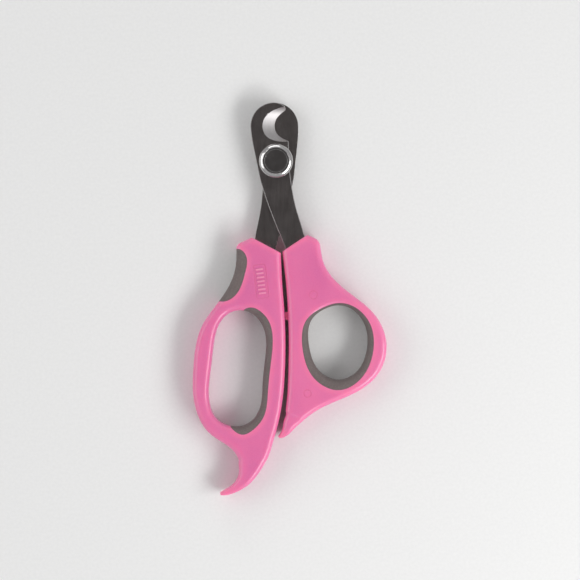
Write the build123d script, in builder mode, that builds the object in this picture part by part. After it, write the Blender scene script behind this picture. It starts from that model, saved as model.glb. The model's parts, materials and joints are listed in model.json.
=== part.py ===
"""Scissor nail clipper for pets, modelled closed and lying flat on its back face.

Frame: +Z is the front face, +Y runs from the handles to the blade tips, millimetres.
The origin is the centre of the footprint, on the surface that the clipper lies on.
Every outline is drawn on planes whose own origin is on the pivot's axis.

Two equal blades are flipped against each other. The tang of each is moulded into a hard
handle, and the handles carry soft over-moulded grips. The finger side turns about the
post in the pivot, and the thumb side carries the post, its washer and its screw.
"""

import os

from build123d import *

os.makedirs("parts", exist_ok=True)

# --- Driving dimensions -------------------------------------------------------------
PIVOT_X = -1.34  # the pivot's axis, from the centre of the footprint
PIVOT_Y = 49.8

HANDLE_T = 9.0  # thickness of both handles
EDGE_R = 2.1  # rounding of the long edges and the loops' edges
V_EDGE_R = 0.5  # rounding where a handle ends at the blades
KEY_DEPTH = 0.9  # hidden rib that locks a soft grip into its handle
KEY_T = 3.0
KEY_SPREAD = 1.07  # the thumb grip's rib, as a share of the grip's own outline

BLADE_T = 2.0
BLADE_GAP = 0.1  # running gap between the two blades
EDGE_LAND = 0.25  # square land left at the cutting edge, below the hollow grind
HEAD_R = 8.6  # round head of a blade
HEAD_CENTRE = (-0.1, 12.75)
BEAK = (4.3, 19.55)
SPUR = (4.85, 7.05)
MOUTH_X = 9.0  # clear of the blade's inner side
BLADE_BREAK = 0.18  # broken edge round the outer face
ANCHOR_HOLE_R = 1.1  # holes in the tang, filled by the handle

BARREL_R = 2.5
RUN_CLEARANCE = 0.05  # radial, barrel in the blade that turns on it
SNUG = 0.02  # clearance between pieces that don't move against each other
FLATS_HALF = 2.1  # half the width over the two flats that key the barrel
POST_HEAD_R = 6.2
POST_HEAD_H = 1.35
POST_RIM_H = 0.35  # upright rim of the head, below its crown
POST_FACE_R = 4.9
POST_DISH = [(4.8, 0.12), (4.2, 0.13), (4.1, 0.17), (0, 0.2)]  # radius and depth below the face
BORE_R = 1.6  # threaded bore of the post, for the screw
BORE_DEPTH = 3.4
WASHER_R = 4.4
WASHER_T = 0.35
WASHER_DISH = 0.15
SCREW_HEAD_R = 4.8
SCREW_HEAD_H = 1.2
SCREW_DOME_H = 0.45  # rise of the domed face from the rim to the axis
SCREW_RIM_R = 0.25
SLOT_W = 1.1
SLOT_DEPTH = 0.7

STOP_TOP_Y = -55.2  # closing stop on the thumb handle
STOP_LENGTH = 3.0
STOP_T = 4.0
STOP_ROOT_X = 4.0  # inside the thumb handle
STOP_REACH_X = 0.56  # a running clearance short of the finger handle

RIB_ROW = Location((-7.6, -43.6), -86)  # a framed row of raised ribs on the finger handle
RIB_COUNT = 7
RIB_PITCH = 1.45
RIB_LENGTH = 2.8
RIB_W = 0.7
RIB_H = 0.2
FRAME_LENGTH = 12.6
FRAME_W = 4.6
EJECTOR_MARKS = [((11.2, -49.4), 1.6), ((7.3, -85.2), 1.5)]  # on the thumb handle, with radius
MARK_LINE = 0.3  # width and depth of the lines of the frame and the marks
MARK_DEPTH = 0.08

MID_Z = HANDLE_T / 2
FRONT_IN_Z = MID_Z + BLADE_GAP / 2  # inner face of the front blade
FRONT_OUT_Z = FRONT_IN_Z + BLADE_T
BACK_OUT_Z = MID_Z - BLADE_GAP / 2 - BLADE_T
BARREL_END_Z = BACK_OUT_Z - RUN_CLEARANCE - WASHER_T - WASHER_DISH

REST_PLANE = Plane((PIVOT_X, PIVOT_Y, 0))  # pivot's axis on the resting surface
FRONT_SIDE = Plane((PIVOT_X, PIVOT_Y, FRONT_IN_Z))
BACK_SIDE = Plane((PIVOT_X, PIVOT_Y, MID_Z - BLADE_GAP / 2), x_dir=(-1, 0, 0), z_dir=(0, 0, -1))


def curve(points, start, end):
    """A smooth curve through the points that leaves and arrives in the two directions."""
    return Spline(*points, tangents=(start, end), tangent_scalars=(1, 1))


def write(part, name):
    """Labels one finished piece and writes it."""
    part.label = name
    export_step(part, f"parts/{name}.step")


# --- Blades -------------------------------------------------------------------------
# The nail notch has a cutting edge on the blade's inner face, and the hollow grind
# leaves a wider crescent on the outer face. Both run from the beak to the spur.
NOTCH_EDGE = [(6.3, 19.9), (3.6, 17.9), (0.9, 15.4), (0.1, 12.7), (1.0, 9.7), (3.4, 7.8), (6.3, 6.6)]
GRIND_EDGE = [(6.3, 19.9), (1.0, 18.8), (-3.0, 16.3), (-4.3, 13.0), (-3.1, 9.2), (0.4, 7.3), (6.3, 7.0)]


def notch_mouth(plane, points):
    """The open side of the notch, closed beyond the blade's inner side."""
    with BuildSketch(plane) as mouth:
        with BuildLine():
            edge = Spline(*points)
            Polyline(edge @ 1, (MOUTH_X, (edge @ 1).Y), (MOUTH_X, (edge @ 0).Y), edge @ 0)
        make_face()
    return mouth.sketch


def make_blade(inner, hole):
    """One blade. The plane lies on its inner face, with the blade's thickness along +Z."""
    land_mouth = notch_mouth(inner, NOTCH_EDGE)
    edge_mouth = notch_mouth(inner.offset(EDGE_LAND), NOTCH_EDGE)
    grind_mouth = notch_mouth(inner.offset(BLADE_T), GRIND_EDGE)
    with BuildPart() as blade:
        with BuildSketch(inner):
            with BuildLine():
                head = CenterArc(HEAD_CENTRE, HEAD_R, 90, 90)
                beak = TangentArc(head @ 0, BEAK, tangent=(1, 0))
                flank = curve([head @ 1, (-7.2, 0.1), (-5.7, -8.4)], (0, -1), (0.25, -1))
                shank = curve([flank @ 1, (-2.8, -18.5), (1.9, -32.2)], flank % 1, (0.33, -1))
                tang_left = Line(shank @ 1, (3.2, -49.6))
                tang_end = ThreePointArc(tang_left @ 1, (5.0, -51.4), (6.8, -49.6))
                tang_right = Line(tang_end @ 1, (9.7, -32.0))
                curve([tang_right @ 1, (8.3, -24.6), (6.5, -17.4), (5.1, -7.6), (4.85, -3.5)],
                      (-0.1, 1), (0, 1))
                Polyline((4.85, -3.5), SPUR, beak @ 1)
            make_face()
        extrude(amount=BLADE_T)
        outer_face = blade.faces().sort_by(Axis((0, 0, 0), tuple(inner.z_dir)))[-1]
        chamfer(outer_face.edges(), BLADE_BREAK)
        extrude(hole, amount=BLADE_T, mode=Mode.SUBTRACT)
        with BuildSketch(inner):
            with Locations((5.1, -46.5), (5.6, -38.5)):
                Circle(ANCHOR_HOLE_R)
        extrude(amount=BLADE_T, mode=Mode.SUBTRACT)
        extrude(land_mouth, amount=EDGE_LAND, mode=Mode.SUBTRACT)
        loft([edge_mouth, grind_mouth], ruled=True, mode=Mode.SUBTRACT)
    return blade.part


def barrel_section(plane, clearance, keyed):
    """The barrel's section with a clearance round it, with its two flats or without."""
    with BuildSketch(plane) as section:
        Circle(BARREL_R + clearance)
        if keyed:
            Rectangle(4 * BARREL_R, 2 * (FLATS_HALF + clearance), mode=Mode.INTERSECT)
    return section.sketch


front_blade = make_blade(FRONT_SIDE, barrel_section(FRONT_SIDE, SNUG, True))
back_blade = make_blade(BACK_SIDE, barrel_section(BACK_SIDE, RUN_CLEARANCE, False))
write(front_blade, "front_blade")
write(back_blade, "back_blade")


# --- Handles ------------------------------------------------------------------------
def closed_curve(points):
    """A face on the resting plane inside a smooth closed curve, drawn in two halves."""
    with BuildSketch(REST_PLANE) as area:
        with BuildLine():
            loop = Spline(*points, periodic=True, mode=Mode.PRIVATE)
            add(loop.trim(0, 0.5))
            add(loop.trim(0.5, 1))
        make_face()
    return area.sketch


def slab(face, bottom=-1.0, top=HANDLE_T + 1.0):
    """The column over a face of the resting plane, from one height to another."""
    with BuildPart() as column:
        extrude(Location((0, 0, bottom)) * face, amount=top - bottom)
    return column.part


THUMB_LOOP = [(16.8, -54.2), (25.0, -55.4), (29.6, -61.8), (29.8, -70.5), (25.9, -78.1),
              (18.9, -80.9), (12.0, -77.2), (8.8, -68.3), (9.7, -59.3)]
THUMB_GRIP = [(17.0, -53.4), (25.6, -54.4), (31.3, -61.1), (31.8, -71.5), (27.1, -80.6),
              (18.8, -84.5), (10.2, -80.0), (6.4, -69.5), (7.9, -59.0)]
THUMB_CENTRE = (19.2, -68.5)
FINGER_LOOP = [(-16.1, -53.8), (-10.4, -56.0), (-7.1, -62.4), (-7.6, -72.4), (-8.9, -81.4),
               (-10.5, -90.2), (-15.2, -95.4), (-21.4, -95.8), (-26.7, -92.2), (-28.6, -85.8),
               (-27.5, -75.0), (-26.0, -66.1), (-23.3, -58.0)]

thumb_loop = closed_curve(THUMB_LOOP)
thumb_grip_area = closed_curve(THUMB_GRIP)
finger_loop = closed_curve(FINGER_LOOP)

with BuildPart() as thumb_form:
    with BuildSketch(REST_PLANE):
        with BuildLine():
            gap = curve([(0.75, -34.0), (1.35, -43.5), (1.6, -52.0), (1.45, -65.0), (0.75, -76.5),
                         (-0.2, -86.2), (-1.0, -91.0)], (0.05, -1), (-0.18, -1))
            root = Line(gap @ 1, (6.2, -94.4))
            lower = curve([root @ 1, (9.5, -92.2), (22.8, -86.7), (33.3, -79.6), (37.0, -69.2),
                           (33.4, -58.0), (21.9, -47.1), (15.6, -38.0), (14.6, -31.6)],
                          (0.82, 0.57), (-0.1, 1))
            shoulder = JernArc(lower @ 1, lower % 1, 3.6, 58)
            ridge = Line(shoulder @ 1, shoulder @ 1 + 7 * (shoulder % 1))
            Polyline(ridge @ 1, ((gap @ 0).X, (ridge @ 1).Y), gap @ 0)
        make_face()
    extrude(amount=HANDLE_T)
    extrude(thumb_loop, amount=HANDLE_T, mode=Mode.SUBTRACT)

with BuildPart() as finger_form:
    with BuildSketch(REST_PLANE):
        with BuildLine():
            gap = curve([(0.15, -34.0), (0.1, -43.0), (0.4, -55.0), (-0.4, -76.0), (-3.3, -93.8),
                         (-6.1, -102.6), (-9.0, -109.3)], (0, -1), (-0.55, -0.83))
            root = Line(gap @ 1, (-18.9, -108.4))
            outer = curve([root @ 1, (-20.5, -105.1), (-28.8, -98.3), (-34.0, -87.0), (-33.8, -74.0),
                           (-30.0, -59.0), (-22.2, -48.8), (-17.4, -40.6), (-16.0, -31.4)],
                          (-0.2, 0.97), (0, 1))
            shoulder = JernArc(outer @ 1, outer % 1, 2.4, -69)
            ridge = Line(shoulder @ 1, shoulder @ 1 + 7 * (shoulder % 1))
            Polyline(ridge @ 1, ((gap @ 0).X, (ridge @ 1).Y), gap @ 0)
        make_face()
    extrude(amount=HANDLE_T)
    extrude(finger_loop, amount=HANDLE_T, mode=Mode.SUBTRACT)


def lowest_end(shape):
    """The flat upright face that a handle's form is cut off with, where its fine end goes on."""
    return shape.faces().filter_by(GeomType.PLANE).filter_by(Axis.Z, reverse=True).sort_by(Axis.Y)[0]


def finished_form(form, stations, v_cut):
    """A handle's whole outer shape: rounded edges, its fine end, and the V at the blades.

    A station of the fine end is its left and right point, its thickness and its corner radius.
    """
    with BuildPart() as shape:
        add(form)
        long_edges = shape.faces().filter_by(Axis.Z).edges() - lowest_end(shape).edges()
        fillet(long_edges, EDGE_R)
        sections = [lowest_end(shape)]
        for left, right, thickness, radius in stations:
            middle = (Vector(*left) + Vector(*right)) / 2 + Vector(0, 0, MID_Z)
            across = Vector(*right) - Vector(*left)
            station = Plane(REST_PLANE.from_local_coords(middle), x_dir=across,
                            z_dir=across.cross(Vector(0, 0, 1)))
            with BuildSketch(station, mode=Mode.PRIVATE) as section:
                RectangleRounded(across.length, thickness, radius)
            sections.append(section.sketch.face())
        loft(sections)
        add(v_cut, mode=Mode.SUBTRACT)
        v_face = shape.faces().filter_by(GeomType.PLANE).filter_by(Axis.Z, reverse=True).sort_by(Axis.Y)[-1]
        fillet(v_face.edges(), V_EDGE_R)
    return shape.part


THUMB_END = [((-1.75, -94.6), (3.05, -96.9), 8.7, 1.9),
             ((-2.3, -97.2), (0.6, -99.1), 7.9, 1.3),
             ((-2.95, -98.95), (-1.3, -100.5), 6.6, 0.75),
             ((-3.7, -99.85), (-2.8, -101.0), 5.6, 0.5),
             ((-4.15, -100.35), (-3.75, -100.95), 4.9, 0.25)]
FINGER_END = [((-19.0, -111.2), (-11.2, -112.6), 8.7, 2.1),
              ((-19.5, -114.2), (-15.0, -116.9), 8.2, 1.8),
              ((-21.1, -116.7), (-19.0, -119.4), 7.3, 1.3),
              ((-23.5, -118.4), (-22.9, -120.7), 6.3, 0.9),
              ((-25.5, -119.4), (-25.3, -120.9), 5.3, 0.6),
              ((-26.25, -119.8), (-26.15, -120.7), 4.7, 0.35)]


def v_cut(side):
    """Everything above a handle's V edge. Side is 1 for the thumb handle, -1 for the other."""
    with BuildSketch(REST_PLANE) as above:
        with BuildLine():
            Polyline((-side * 3.0, -35.3), (side * 10.2, -27.5), (side * 10.2, -20.0),
                     (-side * 3.0, -20.0), close=True)
        make_face()
    return slab(above.sketch)


thumb_shape = finished_form(thumb_form.part, THUMB_END, v_cut(1))
finger_shape = finished_form(finger_form.part, FINGER_END, v_cut(-1))


# --- Soft grips -----------------------------------------------------------------------
def grip_zone(area, rib):
    """The column that a soft grip takes out of a handle, with its hidden locking rib."""
    with BuildPart() as zone:
        add(slab(area))
        add(slab(rib, MID_Z - KEY_T / 2, MID_Z + KEY_T / 2))
    return zone.part


with BuildSketch(REST_PLANE) as finger_grip_area:
    with BuildLine():
        crescent = Spline((-15.3, -55.2), (-13.6, -53.3), (-11.2, -53.0), (-8.0, -54.8), (-5.4, -58.4),
                          (-4.4, -65.5), (-5.6, -74.3), (-7.0, -83.5), (-9.0, -92.8), (-12.8, -97.2),
                          (-17.2, -98.95), (-19.9, -97.5), (-21.7, -95.0))
        Polyline(crescent @ 1, (-14.5, -91.0), (-12.0, -60.0), crescent @ 0)
    make_face()

with BuildSketch(REST_PLANE) as pad_area:
    with BuildLine():
        pad_edge = Spline((-16.6, -31.5), (-13.9, -32.1), (-12.35, -34.9), (-13.2, -40.2),
                          (-15.6, -46.3), (-19.0, -49.6), (-22.6, -50.2))
        Polyline(pad_edge @ 1, (-28.0, -50.2), (-22.0, -31.5), pad_edge @ 0)
    make_face()


def make_grip(shape, zone):
    """The soft piece: what the zone takes out of the handle's whole shape."""
    with BuildPart() as grip:
        add(shape)
        add(zone, mode=Mode.INTERSECT)
    return grip.part


centre_x, centre_y = THUMB_CENTRE
thumb_rib = closed_curve([(centre_x + KEY_SPREAD * (x - centre_x), centre_y + KEY_SPREAD * (y - centre_y))
                          for x, y in THUMB_GRIP])
key_shift = Location((KEY_DEPTH, 0, 0))
thumb_grip_zone = grip_zone(thumb_grip_area, thumb_rib)
finger_grip_zone = grip_zone(finger_grip_area.sketch, key_shift * finger_grip_area.sketch)
pad_zone = grip_zone(pad_area.sketch, key_shift * pad_area.sketch)
write(make_grip(thumb_shape, thumb_grip_zone), "thumb_loop_grip")
write(make_grip(finger_shape, finger_grip_zone), "finger_loop_grip")
write(make_grip(finger_shape, pad_zone), "index_finger_pad")

# --- Hard handles ---------------------------------------------------------------------
with BuildPart() as thumb_handle:
    add(thumb_shape)
    add(thumb_grip_zone, mode=Mode.SUBTRACT)
    # The closing stop bridges the gap to the finger handle.
    with BuildSketch(REST_PLANE.offset(MID_Z)):
        with Locations(((STOP_REACH_X + STOP_ROOT_X) / 2, STOP_TOP_Y - STOP_LENGTH / 2)):
            RectangleRounded(STOP_ROOT_X - STOP_REACH_X, STOP_LENGTH, 0.4)
    extrude(amount=STOP_T / 2, both=True)
    add(front_blade, mode=Mode.SUBTRACT)
    with BuildSketch(REST_PLANE.offset(HANDLE_T)):
        for centre, radius in EJECTOR_MARKS:
            with Locations(centre):
                Circle(radius)
                Circle(radius - MARK_LINE, mode=Mode.SUBTRACT)
    extrude(amount=-MARK_DEPTH, mode=Mode.SUBTRACT)
write(thumb_handle.part, "thumb_handle")

with BuildPart() as finger_handle:
    add(finger_shape)
    add(finger_grip_zone, mode=Mode.SUBTRACT)
    add(pad_zone, mode=Mode.SUBTRACT)
    add(back_blade, mode=Mode.SUBTRACT)
    with BuildSketch(REST_PLANE.offset(HANDLE_T)):
        with Locations(RIB_ROW):
            RectangleRounded(FRAME_LENGTH, FRAME_W, 0.8)
            RectangleRounded(FRAME_LENGTH - 2 * MARK_LINE, FRAME_W - 2 * MARK_LINE, 0.5, mode=Mode.SUBTRACT)
    extrude(amount=-MARK_DEPTH, mode=Mode.SUBTRACT)
    with BuildSketch(REST_PLANE.offset(HANDLE_T)):
        with Locations(RIB_ROW):
            with GridLocations(RIB_PITCH, 0, RIB_COUNT, 1):
                SlotOverall(RIB_LENGTH, RIB_W, rotation=90)
    extrude(amount=RIB_H)
write(finger_handle.part, "finger_handle")

# --- Pivot ----------------------------------------------------------------------------
# The profiles are drawn as radius and height, and revolved about the pivot's axis.
POST_PLANE = Plane((PIVOT_X, PIVOT_Y, 0), x_dir=(1, 0, 0), z_dir=(0, -1, 0))
PIVOT_AXIS = Axis((PIVOT_X, PIVOT_Y, 0), (0, 0, 1))
FACE_Z = FRONT_OUT_Z + POST_HEAD_H

with BuildPart() as pivot_post:
    extrude(barrel_section(REST_PLANE.offset(FRONT_IN_Z), 0, True), amount=BLADE_T)
    extrude(barrel_section(REST_PLANE.offset(BARREL_END_Z), 0, False), amount=FRONT_IN_Z - BARREL_END_Z)
    with BuildSketch(POST_PLANE):
        with BuildLine():
            rim_z = FRONT_OUT_Z + POST_RIM_H
            rim = Polyline((0, FRONT_OUT_Z), (POST_HEAD_R, FRONT_OUT_Z), (POST_HEAD_R, rim_z))
            crown = TangentArc(rim @ 1, (POST_FACE_R, FACE_Z), tangent=(-0.7, 1))
            dish = [(radius, FACE_Z - depth) for radius, depth in POST_DISH]
            Polyline(crown @ 1, *dish, rim @ 0)
        make_face()
    revolve(axis=PIVOT_AXIS)
    with BuildSketch(REST_PLANE.offset(BARREL_END_Z)):
        Circle(BORE_R)
    extrude(amount=BORE_DEPTH, mode=Mode.SUBTRACT)
write(pivot_post.part, "pivot_post")

with BuildPart() as spring_washer:
    with BuildSketch(POST_PLANE):
        inner_r = BARREL_R + RUN_CLEARANCE
        top_z = BACK_OUT_Z - RUN_CLEARANCE
        Polygon((inner_r, top_z - WASHER_DISH), (WASHER_R, top_z), (WASHER_R, top_z - WASHER_T),
                (inner_r, BARREL_END_Z), align=None)
    revolve(axis=PIVOT_AXIS)
write(spring_washer.part, "spring_washer")

with BuildPart() as pivot_screw:
    with BuildSketch(POST_PLANE) as head:
        with BuildLine():
            dome_z = BARREL_END_Z - SCREW_HEAD_H
            dome = TangentArc((0, dome_z), (SCREW_HEAD_R, dome_z + SCREW_DOME_H), tangent=(1, 0))
            Polyline(dome @ 1, (SCREW_HEAD_R, BARREL_END_Z), (0, BARREL_END_Z), dome @ 0)
        make_face()
        rim = head.vertices().sort_by(Axis.X)[-2:].sort_by(Axis.Y)[0]
        fillet(rim, SCREW_RIM_R)
    revolve(axis=PIVOT_AXIS)
    with BuildSketch(REST_PLANE.offset(BARREL_END_Z)):
        Circle(BORE_R - SNUG)
    extrude(amount=BORE_DEPTH - 0.5)
    with BuildSketch(REST_PLANE.offset(dome_z)):
        Rectangle(2 * SCREW_HEAD_R, SLOT_W, rotation=35)
    extrude(amount=SLOT_DEPTH, mode=Mode.SUBTRACT)
write(pivot_screw.part, "pivot_screw")
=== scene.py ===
# Looks for a pair of pet nail scissors that lies closed on its back face: glossy pink moulded
# handles with soft grey grips, ground steel blades and a polished pivot. Everything is in
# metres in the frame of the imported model: +Z out of the front face, +Y towards the blade tips.

import json
import math

import bpy
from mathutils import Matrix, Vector


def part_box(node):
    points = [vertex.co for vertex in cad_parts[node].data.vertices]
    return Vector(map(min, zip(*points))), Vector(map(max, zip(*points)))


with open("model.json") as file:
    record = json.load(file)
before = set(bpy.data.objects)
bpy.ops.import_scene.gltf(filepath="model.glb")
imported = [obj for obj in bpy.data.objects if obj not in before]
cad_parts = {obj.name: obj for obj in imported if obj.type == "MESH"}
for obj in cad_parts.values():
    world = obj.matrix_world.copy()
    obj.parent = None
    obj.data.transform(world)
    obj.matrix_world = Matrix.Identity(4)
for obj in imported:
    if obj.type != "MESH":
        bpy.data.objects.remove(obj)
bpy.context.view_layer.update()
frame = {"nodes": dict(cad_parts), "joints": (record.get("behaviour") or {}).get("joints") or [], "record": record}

MM = 0.001

# --- What the frame says ----------------------------------------------------------------
nodes = frame["nodes"]
hinge = next(j for j in frame["joints"] if j["name"] == "pivot_hinge")
PIVOT = Vector(hinge["pos_m"])
MID_Z = PIVOT.z
FACE_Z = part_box("thumb_handle")[1].z


def opening(name):
    """Lowest and highest corner of one of the openings in the record."""
    found = next(o for o in frame["record"]["physics"]["openings"] if o["name"] == name)
    return [Vector(corner) for corner in found["box_m"]]


# --- Node helpers -----------------------------------------------------------------------
class Tree:
    """The node tree of one material or world, with short calls for the usual nodes.

    Noise scales are in features per metre. An input is a plain value or a socket.
    """

    def __init__(self, owner):
        owner.use_nodes = True
        self.tree = owner.node_tree
        self.tree.nodes.clear()

    def put(self, node, inputs):
        """Sets inputs of a node by name or index: sockets are linked, other values are stored."""
        for name, value in inputs.items():
            if isinstance(value, bpy.types.NodeSocket):
                self.tree.links.new(value, node.inputs[name])
            else:
                node.inputs[name].default_value = value

    def node(self, kind, inputs=None, **settings):
        made = self.tree.nodes.new(kind)
        for name, value in settings.items():
            setattr(made, name, value)
        self.put(made, inputs or {})
        return made

    def place(self):
        """Coordinates in metres that stay with the object when its body moves."""
        return self.node("ShaderNodeTexCoord").outputs["Object"]

    def z_of(self, vector):
        return self.node("ShaderNodeSeparateXYZ", {0: vector}).outputs["Z"]

    def math(self, operation, a, b=0.0, c=0.0):
        return self.node("ShaderNodeMath", {0: a, 1: b, 2: c}, operation=operation).outputs[0]

    def vector(self, operation, a, b=(0.0, 0.0, 0.0), output=0):
        made = self.node("ShaderNodeVectorMath", {0: a, 1: b}, operation=operation)
        return made.outputs[output]

    def remap(self, value, low, high, to_low=0.0, to_high=1.0):
        inputs = {"Value": value, "From Min": low, "From Max": high,
                  "To Min": to_low, "To Max": to_high}
        return self.node("ShaderNodeMapRange", inputs).outputs[0]

    def stretched(self, coords, scale):
        """Coordinates with a scale of their own along each axis."""
        return self.vector("MULTIPLY", coords, scale)

    def off_axis(self, coords, centre):
        """Distance from the upright line through a point."""
        flat = self.vector("MULTIPLY", self.vector("SUBTRACT", coords, centre), (1, 1, 0))
        return self.vector("LENGTH", flat, output="Value")

    def noise(self, coords, scale=1.0, detail=2.0, rough=0.5):
        inputs = {"Vector": coords, "Scale": scale, "Detail": detail, "Roughness": rough}
        return self.node("ShaderNodeTexNoise", inputs).outputs["Fac"]

    def mix(self, factor, a, b):
        """A colour from a, at factor 0, to b, at factor 1."""
        return self.node("ShaderNodeMix", {0: factor, 6: a, 7: b}, data_type="RGBA").outputs[2]

    def mix_numbers(self, factor, a, b):
        """A number from a, at factor 0, to b, at factor 1."""
        return self.node("ShaderNodeMix", {0: factor, 2: a, 3: b}, data_type="FLOAT").outputs[0]

    def bump(self, height, strength, distance, normal):
        inputs = {"Height": height, "Strength": strength, "Distance": distance, "Normal": normal}
        return self.node("ShaderNodeBump", inputs).outputs[0]


def new_material(name):
    """A material with a Principled shader. Returns the material, its tree and the shader."""
    material = bpy.data.materials.new(name)
    tree = Tree(material)
    shader = tree.node("ShaderNodeBsdfPrincipled")
    tree.node("ShaderNodeOutputMaterial", {"Surface": shader.outputs[0]})
    return material, tree, shader


def rounded_normal(tree, radius):
    """The normal with sharp edges and seams rounded, and how strongly each point is on an edge."""
    normal = tree.node("ShaderNodeBevel", {"Radius": radius}, samples=6).outputs[0]
    flat = tree.node("ShaderNodeNewGeometry").outputs["Normal"]
    turn_cosine = tree.vector("DOT_PRODUCT", normal, flat, output="Value")
    return normal, tree.remap(turn_cosine, 0.995, 0.80)


def colour(r, g, b):
    """A colour from its 8-bit display values, in linear light."""
    linear = [(v / 255) ** 2.2 for v in (r, g, b)]
    return (*linear, 1.0)


# --- Colours ----------------------------------------------------------------------------
PINK_DEEP = colour(220, 110, 163)
PINK_LIGHT = colour(236, 122, 169)
# painted glow of light shining through thin plastic
PINK_THIN_GLOW = colour(250, 126, 168)
PINK_SPECK = colour(250, 160, 195)
# painted shade along sharp edges and seams of the plastic
PINK_SEAM_SHADE = colour(150, 40, 84)
# painted highlight on the tops of the raised ribs
PINK_RIB_HIGHLIGHT = colour(252, 178, 208)

RUBBER_DARK = colour(98, 87, 86)
RUBBER_LIGHT = colour(109, 97, 96)
RUBBER_LINT = colour(150, 146, 140)
# painted shade along sharp edges and seams of the rubber
RUBBER_SEAM_SHADE = colour(52, 48, 45)

BLADE_DARK = (0.40, 0.37, 0.362, 1)
BLADE_LIGHT = (0.58, 0.54, 0.53, 1)
BLADE_BRUSHED = (0.62, 0.60, 0.59, 1)
BLADE_WORN = (0.80, 0.79, 0.78, 1)
GRIND_DARK = (0.345, 0.33, 0.33, 1)
GRIND_LIGHT = (0.475, 0.46, 0.46, 1)

BRIGHT_DARK = (0.46, 0.45, 0.445, 1)
BRIGHT_LIGHT = (0.53, 0.52, 0.515, 1)
SPRING_DARK = (0.30, 0.29, 0.28, 1)
SPRING_LIGHT = (0.38, 0.37, 0.36, 1)
TURNED_WORN = (0.85, 0.84, 0.83, 1)

PAPER_DARK = (0.80, 0.80, 0.79, 1)
PAPER_LIGHT = (0.83, 0.83, 0.82, 1)
SKY_LOW = (0.50, 0.50, 0.51, 1)
SKY_SIDE = (0.62, 0.62, 0.63, 1)
SKY_ZENITH = (0.085, 0.08, 0.08, 1)

# --- Sizes of the surface detail --------------------------------------------------------
PLASTIC_EDGE = 0.22 * MM  # the radius that a material's sharp edges look rounded to
RUBBER_EDGE = 0.20 * MM
BLADE_EDGE = 0.10 * MM
TURNED_EDGE = 0.12 * MM

PLASTIC_RELIEF = 0.05 * MM  # how deep a material's grain or grinding marks look
RUBBER_RELIEF = 0.03 * MM
BLADE_RELIEF = 0.004 * MM
TURNED_RELIEF = 0.005 * MM

THIN_WALL = 2.4 * MM  # plastic is painted paler, a painted glow of light shining through it, where it is thinner than this
RIB_FOOT = 0.05 * MM  # the raised ribs are painted paler, a painted highlight, from this height above the face
RIB_TOP = 0.20 * MM
PARTING_FOOT = 0.14 * MM  # half the width of the parting line at its foot and at its top
PARTING_TOP = 0.06 * MM
RING_WAVER = 0.6 * MM  # a shift in the noise that makes the grinding rings uneven along their length

NOTCH_INSET = 0.7 * MM  # from the end of a notch's opening box to the centre of its round
BRUSH_TURN = math.radians(7)  # from +Y to the brush marks along a blade


# --- Materials --------------------------------------------------------------------------
# No surface's roughness varies across 0.275, because in a denoised render that shows as outlines.


def moulded_plastic(name):
    """Glossy pink moulding: flow marks, fine grain, scuffs, a parting line round its middle; painted glow where it
    is thin, painted shade along sharp edges and seams and painted highlights on the rib tops.
    """
    material, tree, shader = new_material(name)
    place = tree.place()
    height = tree.z_of(place)
    normal, edge = rounded_normal(tree, PLASTIC_EDGE)

    flow = tree.noise(tree.stretched(place, (50, 26, 50)), detail=3)
    speckle = tree.noise(place, scale=2600)
    # Painted glow: where the plastic is thin, its colour is painted paler for the light that shines through it.
    inside = tree.node("ShaderNodeAmbientOcclusion", {"Distance": THIN_WALL}, samples=8,
                       inside=True, only_local=True)
    thin_glow = tree.remap(inside.outputs["AO"], 1.0, 0.5)
    # Painted highlight: the tops of the raised ribs are painted paler.
    rib_highlight = tree.remap(height, FACE_Z + RIB_FOOT, FACE_Z + RIB_TOP, 0.0, 0.4)
    base = tree.mix(tree.remap(flow, 0.3, 0.7), PINK_DEEP, PINK_LIGHT)
    base = tree.mix(thin_glow, base, PINK_THIN_GLOW)
    base = tree.mix(tree.remap(speckle, 0.35, 0.65, 0.0, 0.08), base, PINK_SPECK)
    # Painted shade: the colour is darkened along sharp edges and seams.
    base = tree.mix(tree.math("MULTIPLY", edge, 0.25), base, PINK_SEAM_SHADE)
    base = tree.mix(rib_highlight, base, PINK_RIB_HIGHLIGHT)

    smudge = tree.noise(place, scale=110, detail=3)
    scuffs = tree.noise(tree.stretched(place, (1500, 90, 400)), detail=4, rough=0.7)
    rough = tree.math("ADD", tree.remap(smudge, 0.3, 0.7, 0.29, 0.38),
                      tree.remap(scuffs, 0.55, 0.75, 0.0, 0.10))

    off_middle = tree.math("ABSOLUTE", tree.math("SUBTRACT", height, MID_Z))
    parting = tree.remap(off_middle, PARTING_FOOT, PARTING_TOP)
    grain = tree.noise(place, scale=5200, rough=0.6)
    waves = tree.math("MULTIPLY", tree.noise(place, scale=260), 0.4)
    relief = tree.math("ADD", tree.math("MULTIPLY_ADD", grain, 0.12, waves), parting)

    tree.put(shader, {
        "Base Color": base,
        "Roughness": rough,
        "Normal": tree.bump(relief, 0.5, PLASTIC_RELIEF, normal),
        "Subsurface Weight": 0.3,
        "Subsurface Radius": (1.0, 0.28, 0.42),
        "Subsurface Scale": 1.6 * MM,
        "IOR": 1.5,
        "Specular IOR Level": 0.35,
        "Coat Weight": 0.6,
        "Coat Roughness": 0.22,
    })
    return material


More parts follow.
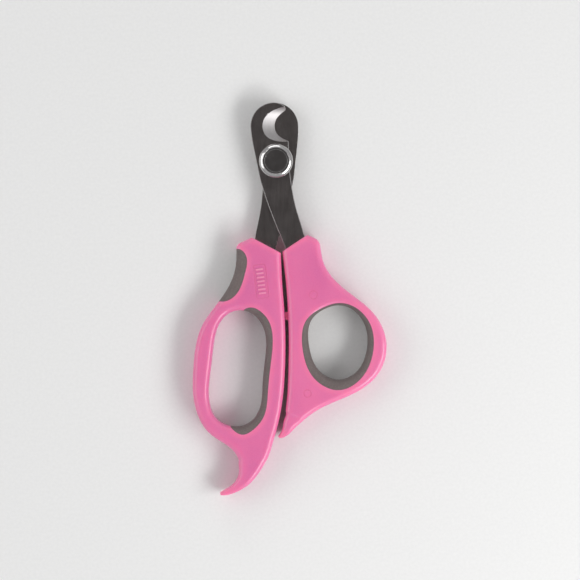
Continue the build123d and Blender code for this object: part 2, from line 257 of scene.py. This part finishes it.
def soft_rubber(name):
    """Matt grey soft-touch rubber with a fine eroded grain, lint in it, and painted shade darkening its edges and
    seams.
    """
    material, tree, shader = new_material(name)
    place = tree.place()
    normal, edge = rounded_normal(tree, RUBBER_EDGE)

    cloud = tree.noise(place, scale=140, detail=4)
    speckle = tree.noise(place, scale=3400)
    base = tree.mix(tree.remap(cloud, 0.3, 0.7), RUBBER_DARK, RUBBER_LIGHT)
    base = tree.mix(tree.remap(speckle, 0.45, 0.72, 0.0, 0.28), base, RUBBER_LINT)
    # Painted shade: the colour is darkened along sharp edges and seams.
    base = tree.mix(tree.math("MULTIPLY", edge, 0.5), base, RUBBER_SEAM_SHADE)

    grain = tree.noise(place, scale=4200, detail=3, rough=0.65)
    tree.put(shader, {
        "Base Color": base,
        "Roughness": tree.remap(cloud, 0.3, 0.7, 0.52, 0.66),
        "Normal": tree.bump(grain, 0.6, RUBBER_RELIEF, normal),
        "Sheen Weight": 0.08,
        "IOR": 1.45,
    })
    return material


def ground_steel(name, along, notch):
    """Blade steel: faces brushed along the blade, and a hollow grind with rings round the notch."""
    material, tree, shader = new_material(name)
    place = tree.place()
    normal, edge = rounded_normal(tree, BLADE_EDGE)
    turned = tree.node("ShaderNodeVectorRotate", {"Vector": place, "Angle": along},
                       rotation_type="Z_AXIS").outputs[0]
    brush = tree.noise(tree.stretched(turned, (5200, 110, 3000)), detail=3, rough=0.6)
    broad = tree.noise(tree.stretched(turned, (900, 60, 400)))
    stain = tree.noise(place, scale=170, detail=4)

    # The hollow grind is the only broad surface that is neither flat nor upright.
    true_normal = tree.node("ShaderNodeNewGeometry").outputs["True Normal"]
    lift = tree.math("ABSOLUTE", tree.z_of(true_normal))  # 1 on a flat face, 0 on an upright one
    grind = tree.math("MULTIPLY", tree.remap(lift, 0.99, 0.985), tree.remap(lift, 0.05, 0.1))
    radius = tree.off_axis(place, notch)
    waver = tree.math("MULTIPLY", tree.noise(place, scale=500, detail=1), RING_WAVER)
    rings = tree.node("ShaderNodeCombineXYZ", {0: radius, 1: waver}).outputs[0]
    ring_lines = tree.noise(tree.stretched(rings, (9000, 900, 1)), rough=0.6)

    base = tree.mix(tree.remap(stain, 0.3, 0.7), BLADE_DARK, BLADE_LIGHT)
    base = tree.mix(tree.remap(brush, 0.45, 0.7, 0.0, 0.4), base, BLADE_BRUSHED)
    ground = tree.mix(tree.remap(ring_lines, 0.35, 0.65), GRIND_DARK, GRIND_LIGHT)
    base = tree.mix(grind, base, ground)
    base = tree.mix(tree.math("MULTIPLY", edge, 0.6), base, BLADE_WORN)

    flat_rough = tree.math("ADD", tree.remap(brush, 0.3, 0.7, 0.18, 0.23),
                           tree.remap(broad, 0.35, 0.65, 0.0, 0.035))
    ground_rough = tree.remap(ring_lines, 0.3, 0.7, 0.42, 0.54)
    lines = tree.mix_numbers(grind, brush, ring_lines)
    tree.put(shader, {
        "Base Color": base,
        "Metallic": 1.0,
        "Roughness": tree.mix_numbers(grind, flat_rough, ground_rough),
        "Normal": tree.bump(lines, 0.25, BLADE_RELIEF, normal),
    })
    return material


def turned_steel(name, dark, light, rough_low, rough_high):
    """Steel turned on a lathe: fine rings round the pivot, handling marks, worn edges."""
    material, tree, shader = new_material(name)
    place = tree.place()
    normal, edge = rounded_normal(tree, TURNED_EDGE)
    rings = tree.node("ShaderNodeCombineXYZ", {0: tree.off_axis(place, PIVOT)}).outputs[0]
    ring_lines = tree.noise(rings, scale=11000, rough=0.6)
    smudge = tree.noise(place, scale=420, detail=4)
    base = tree.mix(tree.remap(smudge, 0.3, 0.7), dark, light)
    base = tree.mix(tree.math("MULTIPLY", edge, 0.4), base, TURNED_WORN)
    rough = tree.math("ADD", tree.remap(ring_lines, 0.3, 0.7, rough_low, rough_high),
                      tree.remap(smudge, 0.5, 0.8, 0.0, 0.08))
    tree.put(shader, {
        "Base Color": base,
        "Metallic": 1.0,
        "Roughness": rough,
        "Normal": tree.bump(ring_lines, 0.3, TURNED_RELIEF, normal),
    })
    return material


def dress(node_name, material):
    """Gives a CAD node its material."""
    mesh = nodes[node_name].data
    mesh.materials.clear()
    mesh.materials.append(material)


front_low, front_high = opening("front_nail_notch")
back_low, back_high = opening("back_nail_notch")
notch_y = (front_low.y + front_high.y) / 2
front_notch = (front_high.x - NOTCH_INSET, notch_y, 0.0)
back_notch = (back_low.x + NOTCH_INSET, notch_y, 0.0)

pink = moulded_plastic("pink_plastic")
for handle in ("thumb_handle", "finger_handle"):
    dress(handle, pink)
rubber = soft_rubber("grey_rubber")
for grip in ("thumb_loop_grip", "finger_loop_grip", "index_finger_pad"):
    dress(grip, rubber)
dress("front_blade", ground_steel("front_blade_steel", BRUSH_TURN, front_notch))
dress("back_blade", ground_steel("back_blade_steel", -BRUSH_TURN, back_notch))
bright = turned_steel("bright_steel", BRIGHT_DARK, BRIGHT_LIGHT, 0.10, 0.18)
for bright_piece in ("pivot_post", "pivot_screw"):
    dress(bright_piece, bright)
dress("spring_washer", turned_steel("spring_steel", SPRING_DARK, SPRING_LIGHT, 0.30, 0.40))

# --- Floor ------------------------------------------------------------------------------
FLOOR_HALF = 1.5
floor_mesh = bpy.data.meshes.new("floor")
corners = [(-FLOOR_HALF, -FLOOR_HALF, 0), (FLOOR_HALF, -FLOOR_HALF, 0),
           (FLOOR_HALF, FLOOR_HALF, 0), (-FLOOR_HALF, FLOOR_HALF, 0)]
floor_mesh.from_pydata(corners, [], [(0, 1, 2, 3)])
floor = bpy.data.objects.new("floor", floor_mesh)
bpy.context.scene.collection.objects.link(floor)

paper, paper_tree, paper_shader = new_material("pale_floor")
fleck = paper_tree.remap(paper_tree.noise(paper_tree.place(), scale=900, detail=3), 0.3, 0.7)
paper_base = paper_tree.mix(fleck, PAPER_DARK, PAPER_LIGHT)
paper_tree.put(paper_shader, {"Base Color": paper_base, "Roughness": 0.8})
floor_mesh.materials.append(paper)

# --- Light ------------------------------------------------------------------------------
# The room is dim straight above, so that flat steel reads dark, and light all round.
world = bpy.data.worlds.new("studio")
bpy.context.scene.world = world
sky = Tree(world)
sky_height = sky.z_of(sky.node("ShaderNodeTexCoord").outputs["Generated"])
sky_colour = sky.mix(sky.remap(sky_height, 0.25, 0.5), SKY_LOW, SKY_SIDE)
sky_colour = sky.mix(sky.remap(sky_height, 0.80, 0.92), sky_colour, SKY_ZENITH)
background = sky.node("ShaderNodeBackground", {"Color": sky_colour, "Strength": 1.0})
sky.node("ShaderNodeOutputWorld", {"Surface": background.outputs[0]})


def softbox(name, azimuth, elevation, distance, width, height, power):
    """A rectangular area light that faces the object. Azimuth runs from +X towards +Y."""
    lamp = bpy.data.lights.new(name, "AREA")
    lamp.shape = "RECTANGLE"
    lamp.size = width
    lamp.size_y = height
    lamp.energy = power
    holder = bpy.data.objects.new(name, lamp)
    turn = math.radians(azimuth)
    rise = math.radians(elevation)
    reach = math.cos(rise)
    outward = Vector((math.cos(turn) * reach, math.sin(turn) * reach, math.sin(rise)))
    holder.location = outward * distance
    holder.rotation_euler = outward.to_track_quat("Z", "Y").to_euler()
    bpy.context.scene.collection.objects.link(holder)


softbox("key", azimuth=-30, elevation=36, distance=0.80, width=0.75, height=0.26, power=4.0)
softbox("glint", azimuth=-52, elevation=36, distance=0.80, width=0.28, height=0.06, power=0.5)
softbox("fill", azimuth=170, elevation=30, distance=0.90, width=0.90, height=0.50, power=2.4)
softbox("back", azimuth=95, elevation=22, distance=0.90, width=0.60, height=0.20, power=1.0)

# --- Camera -----------------------------------------------------------------------------
# It looks straight down on the front face, a little turned.
VIEW_WIDTH = 211.7 * MM  # what the picture spans at the depth of the aim
AIM = Vector((1.46 * MM, 2.52 * MM, 5.5 * MM))
ROLL = math.radians(2.8)
LENS = 150.0
SENSOR = 36.0
camera_data = bpy.data.cameras.new("camera")
camera_data.lens = LENS
camera_data.sensor_width = SENSOR
camera_data.clip_start = 0.01
camera_data.clip_end = 10.0
camera = bpy.data.objects.new("camera", camera_data)
camera.location = AIM + Vector((0, 0, VIEW_WIDTH * LENS / SENSOR))
camera.rotation_euler = (0, 0, -ROLL)
bpy.context.scene.collection.objects.link(camera)
bpy.context.scene.camera = camera
bpy.context.scene.view_settings.view_transform = "Standard"
